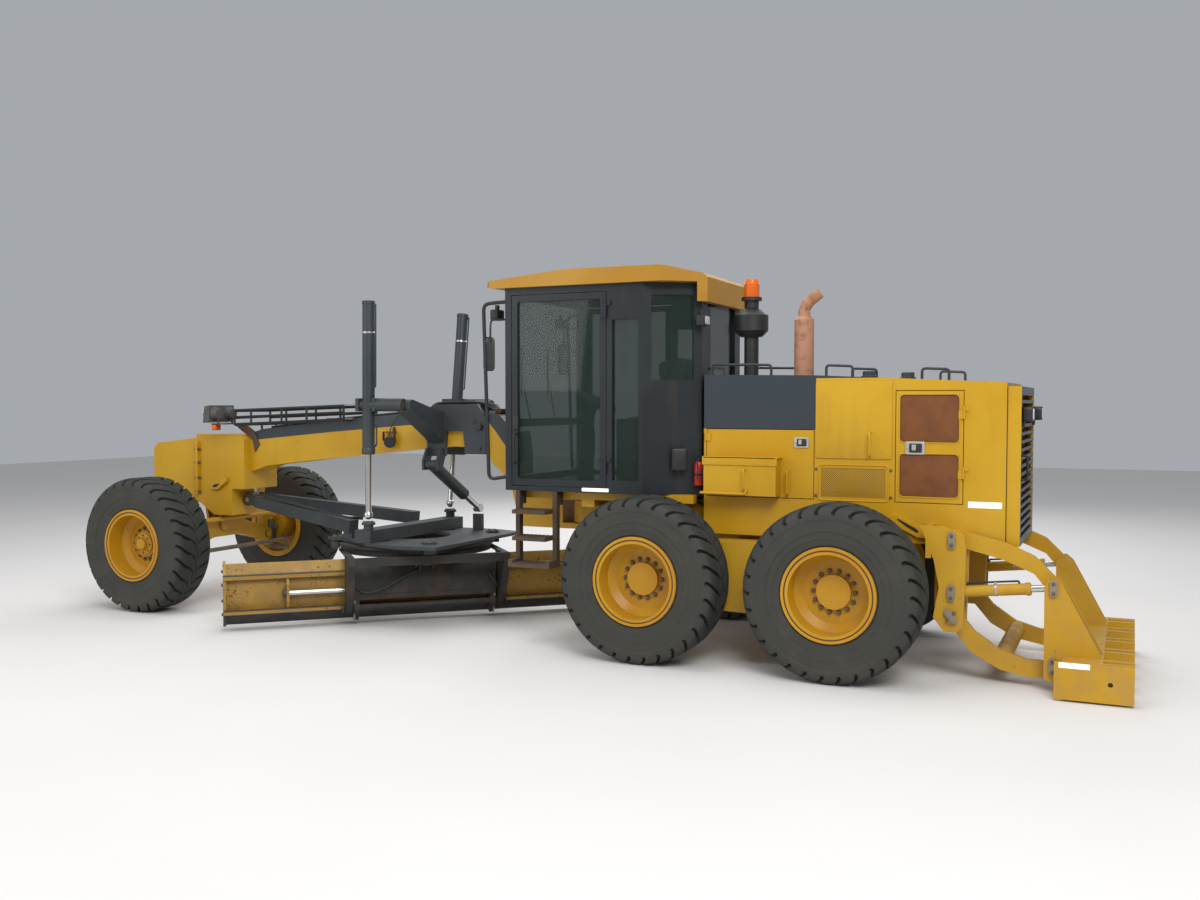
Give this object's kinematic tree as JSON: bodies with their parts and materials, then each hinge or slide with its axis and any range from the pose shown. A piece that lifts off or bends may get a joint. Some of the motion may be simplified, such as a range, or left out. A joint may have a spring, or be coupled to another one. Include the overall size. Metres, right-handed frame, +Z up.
{
  "type": "motor grader",
  "caption": "Articulated motor grader with a cab and rear engine, a turning blade under its gooseneck frame, leaning steered front wheels and a rear ripper linkage.",
  "frame": {"origin": "on the floor, under the middle of the whole machine as parked", "axes": "+X points forward, +Y to the machine's left, +Z up"},
  "size_m": [9.7, 2.8928, 3.195],
  "materials": {
    "frame_yellow": "gloss, dusty",
    "engine_grey": "matt",
    "hood_paint": "gloss with a dark front band",
    "cab_grey": "satin",
    "roof_orange": "faded, chalky",
    "window_glass": "clear with a green tint",
    "seat_black": "cloth and moulded plastic",
    "step_steel": "worn to brown",
    "exhaust_rust": "heat rusted",
    "intake_black": "matt",
    "beacon_amber": "clear amber",
    "door_yellow": "gloss",
    "grille_black": "matt",
    "neck_paint": "gloss with a dark top",
    "dark_steel": "satin, scuffed",
    "lamp_housing": "matt with clear lenses",
    "knuckle_grey": "greasy",
    "bright_rod": "polished",
    "worn_steel": "bare and dusty",
    "blade_yellow": "worn to steel at the edge",
    "tyre_rubber": "dusty",
    "rim_yellow": "gloss"
  },
  "bodies": {
    "chassis": {"rear_frame": "frame_yellow", "tandem_cases": "frame_yellow", "engine_block": "engine_grey", "hood_shell": "hood_paint", "cab_body": "cab_grey", "cab_roof": "roof_orange", "cab_glass": "window_glass", "operator_station": "seat_black", "steps_and_rails": "step_steel", "exhaust": "exhaust_rust", "air_intake": "intake_black", "beacon": "beacon_amber"},
    "cab_door_l": {"cab_door_left": "cab_grey", "door_glass_left": "window_glass"},
    "cab_door_r": {"cab_door_right": "cab_grey", "door_glass_right": "window_glass"},
    "hood_door_lf": {"engine_door_left_front": "door_yellow"},
    "hood_door_lr": {"engine_door_left_rear": "door_yellow"},
    "hood_door_rf": {"engine_door_right_front": "door_yellow"},
    "hood_door_rr": {"engine_door_right_rear": "door_yellow"},
    "grille_door": {"rear_grille": "grille_black"},
    "front": {"front_frame": "neck_paint", "front_axle": "frame_yellow", "saddle": "dark_steel", "headlights": "lamp_housing"},
    "fork_l": {"lean_fork_left": "frame_yellow"},
    "fork_r": {"lean_fork_right": "frame_yellow"},
    "hub_l": {"knuckle_left": "knuckle_grey"},
    "hub_r": {"knuckle_right": "knuckle_grey"},
    "lean_link": {"lean_bar": "frame_yellow"},
    "tie_joint": {"tie_rod_end": "knuckle_grey"},
    "tie_link": {"tie_rod": "knuckle_grey"},
    "ball": {"drawbar_ball": "bright_rod"},
    "draw": {"drawbar": "dark_steel"},
    "turntable": {"blade_circle": "worn_steel"},
    "carriage": {"blade_carriage": "worn_steel"},
    "blade": {"moldboard": "blade_yellow"},
    "lift_l": {"lift_barrel_left": "dark_steel"},
    "lift_r": {"lift_barrel_right": "dark_steel"},
    "lift_rod_l": {"lift_rod_left": "bright_rod"},
    "lift_rod_r": {"lift_rod_right": "bright_rod"},
    "shift": {"shift_barrel": "dark_steel"},
    "shift_r": {"shift_rod": "bright_rod"},
    "ripper_upper": {"ripper_upper_arms": "frame_yellow"},
    "ripper_lower": {"ripper_lower_arms": "frame_yellow"},
    "ripper_tool": {"ripper_beam": "frame_yellow"},
    "ripper_cyl": {"ripper_barrels": "frame_yellow"},
    "ripper_piston": {"ripper_rods": "bright_rod"},
    "wheel_mid_left": {"tyre_mid_left": "tyre_rubber", "rim_mid_left": "rim_yellow"},
    "wheel_mid_right": {"tyre_mid_right": "tyre_rubber", "rim_mid_right": "rim_yellow"},
    "wheel_rear_left": {"tyre_rear_left": "tyre_rubber", "rim_rear_left": "rim_yellow"},
    "wheel_rear_right": {"tyre_rear_right": "tyre_rubber", "rim_rear_right": "rim_yellow"},
    "wheel_front_left": {"tyre_front_left": "tyre_rubber", "rim_front_left": "rim_yellow"},
    "wheel_front_right": {"tyre_front_right": "tyre_rubber", "rim_front_right": "rim_yellow"}
  },
  "joints": [
    {"name": "articulation", "type": "hinge", "parent": "chassis", "child": "front", "pos_m": [-0.3, -0.212, 1.08], "axis": [0, 0, 1], "range_deg": [-22, 22]},
    {"name": "cab_door_left_swing", "type": "hinge", "parent": "chassis", "child": "cab_door_l", "pos_m": [-0.816, 0.562, 2.1], "axis": [0, 0, 1], "range_deg": [0, 85]},
    {"name": "cab_door_right_swing", "type": "hinge", "parent": "chassis", "child": "cab_door_r", "pos_m": [-0.816, -0.986, 2.1], "axis": [0, 0, -1], "range_deg": [0, 85]},
    {"name": "hood_door_left_front_swing", "type": "hinge", "parent": "chassis", "child": "hood_door_lf", "pos_m": [-1.64, 0.378, 1.6], "axis": [0, 0, -1], "range_deg": [0, 75]},
    {"name": "hood_door_right_front_swing", "type": "hinge", "parent": "chassis", "child": "hood_door_rf", "pos_m": [-1.64, -0.802, 1.6], "axis": [0, 0, 1], "range_deg": [0, 75]},
    {"name": "hood_door_left_rear_swing", "type": "hinge", "parent": "chassis", "child": "hood_door_lr", "pos_m": [-3.67, 0.378, 1.7], "axis": [0, 0, 1], "range_deg": [0, 85]},
    {"name": "hood_door_right_rear_swing", "type": "hinge", "parent": "chassis", "child": "hood_door_rr", "pos_m": [-3.67, -0.802, 1.7], "axis": [0, 0, -1], "range_deg": [0, 85]},
    {"name": "grille_swing", "type": "hinge", "parent": "chassis", "child": "grille_door", "pos_m": [-4.058, -0.794, 1.6], "axis": [0, 0, 1], "range_deg": [0, 100]},
    {"name": "wheel_mid_left_spin", "type": "hinge", "parent": "chassis", "child": "wheel_mid_left", "pos_m": [-1.282, 0.833, 0.665], "axis": [0, 1, 0], "continuous": true},
    {"name": "wheel_mid_right_spin", "type": "hinge", "parent": "chassis", "child": "wheel_mid_right", "pos_m": [-1.282, -1.257, 0.665], "axis": [0, 1, 0], "continuous": true},
    {"name": "wheel_rear_left_spin", "type": "hinge", "parent": "chassis", "child": "wheel_rear_left", "pos_m": [-2.818, 0.833, 0.665], "axis": [0, 1, 0], "continuous": true},
    {"name": "wheel_rear_right_spin", "type": "hinge", "parent": "chassis", "child": "wheel_rear_right", "pos_m": [-2.818, -1.257, 0.665], "axis": [0, 1, 0], "continuous": true},
    {"name": "wheel_lean", "type": "hinge", "parent": "front", "child": "fork_l", "pos_m": [4.106, 0.408, 0.6], "axis": [-1, 0, 0], "range_deg": [-20, 20]},
    {"name": "wheel_lean_right", "type": "hinge", "parent": "front", "child": "fork_r", "pos_m": [4.106, -0.832, 0.6], "axis": [-1, 0, 0], "range_deg": [-20, 20]},
    {"name": "lean_bar_left", "type": "hinge", "parent": "fork_l", "child": "lean_link", "pos_m": [3.946, 0.408, 0.84], "axis": [-1, 0, 0], "range_deg": [-20, 20]},
    {"name": "steering", "type": "hinge", "parent": "fork_l", "child": "hub_l", "pos_m": [4.106, 0.508, 0.665], "axis": [0, 0, 1], "range_deg": [-45, 45]},
    {"name": "steering_right", "type": "hinge", "parent": "fork_r", "child": "hub_r", "pos_m": [4.106, -0.932, 0.665], "axis": [0, 0, 1], "range_deg": [-45, 45]},
    {"name": "tie_rod_end_left", "type": "hinge", "parent": "hub_l", "child": "tie_joint", "pos_m": [3.846, 0.498, 0.54], "axis": [0, 0, 1], "range_deg": [-45, 45]},
    {"name": "tie_rod_lean", "type": "hinge", "parent": "tie_joint", "child": "tie_link", "pos_m": [3.846, 0.438, 0.54], "axis": [-1, 0, 0], "range_deg": [-20, 20]},
    {"name": "wheel_front_left_spin", "type": "hinge", "parent": "hub_l", "child": "wheel_front_left", "pos_m": [4.106, 0.833, 0.665], "axis": [0, 1, 0], "continuous": true},
    {"name": "wheel_front_right_spin", "type": "hinge", "parent": "hub_r", "child": "wheel_front_right", "pos_m": [4.106, -1.257, 0.665], "axis": [0, 1, 0], "continuous": true},
    {"name": "drawbar_swing", "type": "hinge", "parent": "front", "child": "ball", "pos_m": [3.65, -0.212, 1.05], "axis": [0, 0, 1], "range_deg": [-7, 7]},
    {"name": "blade_lift", "type": "hinge", "parent": "ball", "child": "draw", "pos_m": [3.65, -0.212, 1.05], "axis": [0.0366, 0.9993, 0], "range_deg": [-10, 10.5]},
    {"name": "circle_turn", "type": "hinge", "parent": "draw", "child": "turntable", "pos_m": [1.54541, -0.13483, 0.7], "axis": [0, 0, 1], "continuous": true},
    {"name": "blade_tilt", "type": "hinge", "parent": "turntable", "child": "carriage", "pos_m": [1.22645, 0.19663, 0.17], "axis": [0.7206, 0.6934, 0], "range_deg": [-4, 40]},
    {"name": "blade_side_shift", "type": "slide", "parent": "carriage", "child": "blade", "axis": [-0.7206, -0.6934, 0], "range_m": [-0.66, 0.51]},
    {"name": "lift_cylinder_left", "type": "hinge", "parent": "front", "child": "lift_l", "pos_m": [1.605, 0.548, 2.05], "axis": [1, 0, 0], "range_deg": [-15, 15]},
    {"name": "lift_rod_left_slide", "type": "slide", "parent": "lift_l", "child": "lift_rod_l", "axis": [0, -0.0142, 0.9999], "range_m": [-0.45, 0.5]},
    {"name": "lift_cylinder_right", "type": "hinge", "parent": "front", "child": "lift_r", "pos_m": [1.605, -0.972, 2.05], "axis": [1, 0, 0], "range_deg": [-15, 15]},
    {"name": "lift_rod_right_slide", "type": "slide", "parent": "lift_r", "child": "lift_rod_r", "axis": [0, -0.1316, 0.9913], "range_m": [-0.45, 0.5]},
    {"name": "shift_cylinder", "type": "hinge", "parent": "front", "child": "shift", "pos_m": [1.24, 0.038, 1.48], "axis": [1, 0, 0], "range_deg": [-29, 26]},
    {"name": "shift_rod_slide", "type": "slide", "parent": "shift", "child": "shift_r", "axis": [0, -0.8657, -0.5006], "range_m": [-0.26, 0.26]},
    {"name": "ripper_lift", "type": "hinge", "parent": "chassis", "child": "ripper_upper", "pos_m": [-3.62, -0.212, 1.07], "axis": [0, -1, 0], "range_deg": [-38, 0]},
    {"name": "ripper_lower_lift", "type": "hinge", "parent": "chassis", "child": "ripper_lower", "pos_m": [-3.62, -0.212, 0.47], "axis": [0, -1, 0], "range_deg": [-38, 0]},
    {"name": "ripper_beam_level", "type": "hinge", "parent": "ripper_upper", "child": "ripper_tool", "pos_m": [-4.32, -0.212, 0.745], "axis": [0, -1, 0], "range_deg": [0, 38]},
    {"name": "ripper_cylinder", "type": "hinge", "parent": "chassis", "child": "ripper_cyl", "pos_m": [-3.62, -0.212, 0.67], "axis": [0, -1, 0], "range_deg": [-33, 0]},
    {"name": "ripper_rod_slide", "type": "slide", "parent": "ripper_cyl", "child": "ripper_piston", "axis": [-0.9943, 0, 0.1065], "range_m": [0, 0.26]}
  ],
  "couplings": [
    {"joint": "wheel_lean_right", "follows": "wheel_lean", "ratio": 1},
    {"joint": "lean_bar_left", "follows": "wheel_lean", "ratio": -1},
    {"joint": "steering_right", "follows": "steering", "ratio": 1},
    {"joint": "tie_rod_end_left", "follows": "steering", "ratio": -1},
    {"joint": "tie_rod_lean", "follows": "wheel_lean", "ratio": -1},
    {"joint": "lift_cylinder_left", "follows": "drawbar_swing", "ratio": -2},
    {"joint": "lift_rod_left_slide", "follows": "blade_lift", "m_per_rad": 2.0452},
    {"joint": "lift_cylinder_right", "follows": "drawbar_swing", "ratio": -2},
    {"joint": "lift_rod_right_slide", "follows": "blade_lift", "m_per_rad": 2.063},
    {"joint": "shift_cylinder", "follows": "blade_lift", "ratio": -2.48},
    {"joint": "shift_rod_slide", "follows": "drawbar_swing", "m_per_rad": 1.1474},
    {"joint": "ripper_lower_lift", "follows": "ripper_lift", "ratio": 1},
    {"joint": "ripper_beam_level", "follows": "ripper_lift", "ratio": -1},
    {"joint": "ripper_cylinder", "follows": "ripper_lift", "ratio": 0.823},
    {"joint": "ripper_rod_slide", "follows": "ripper_lift", "m_per_rad": -0.3665}
  ]
}
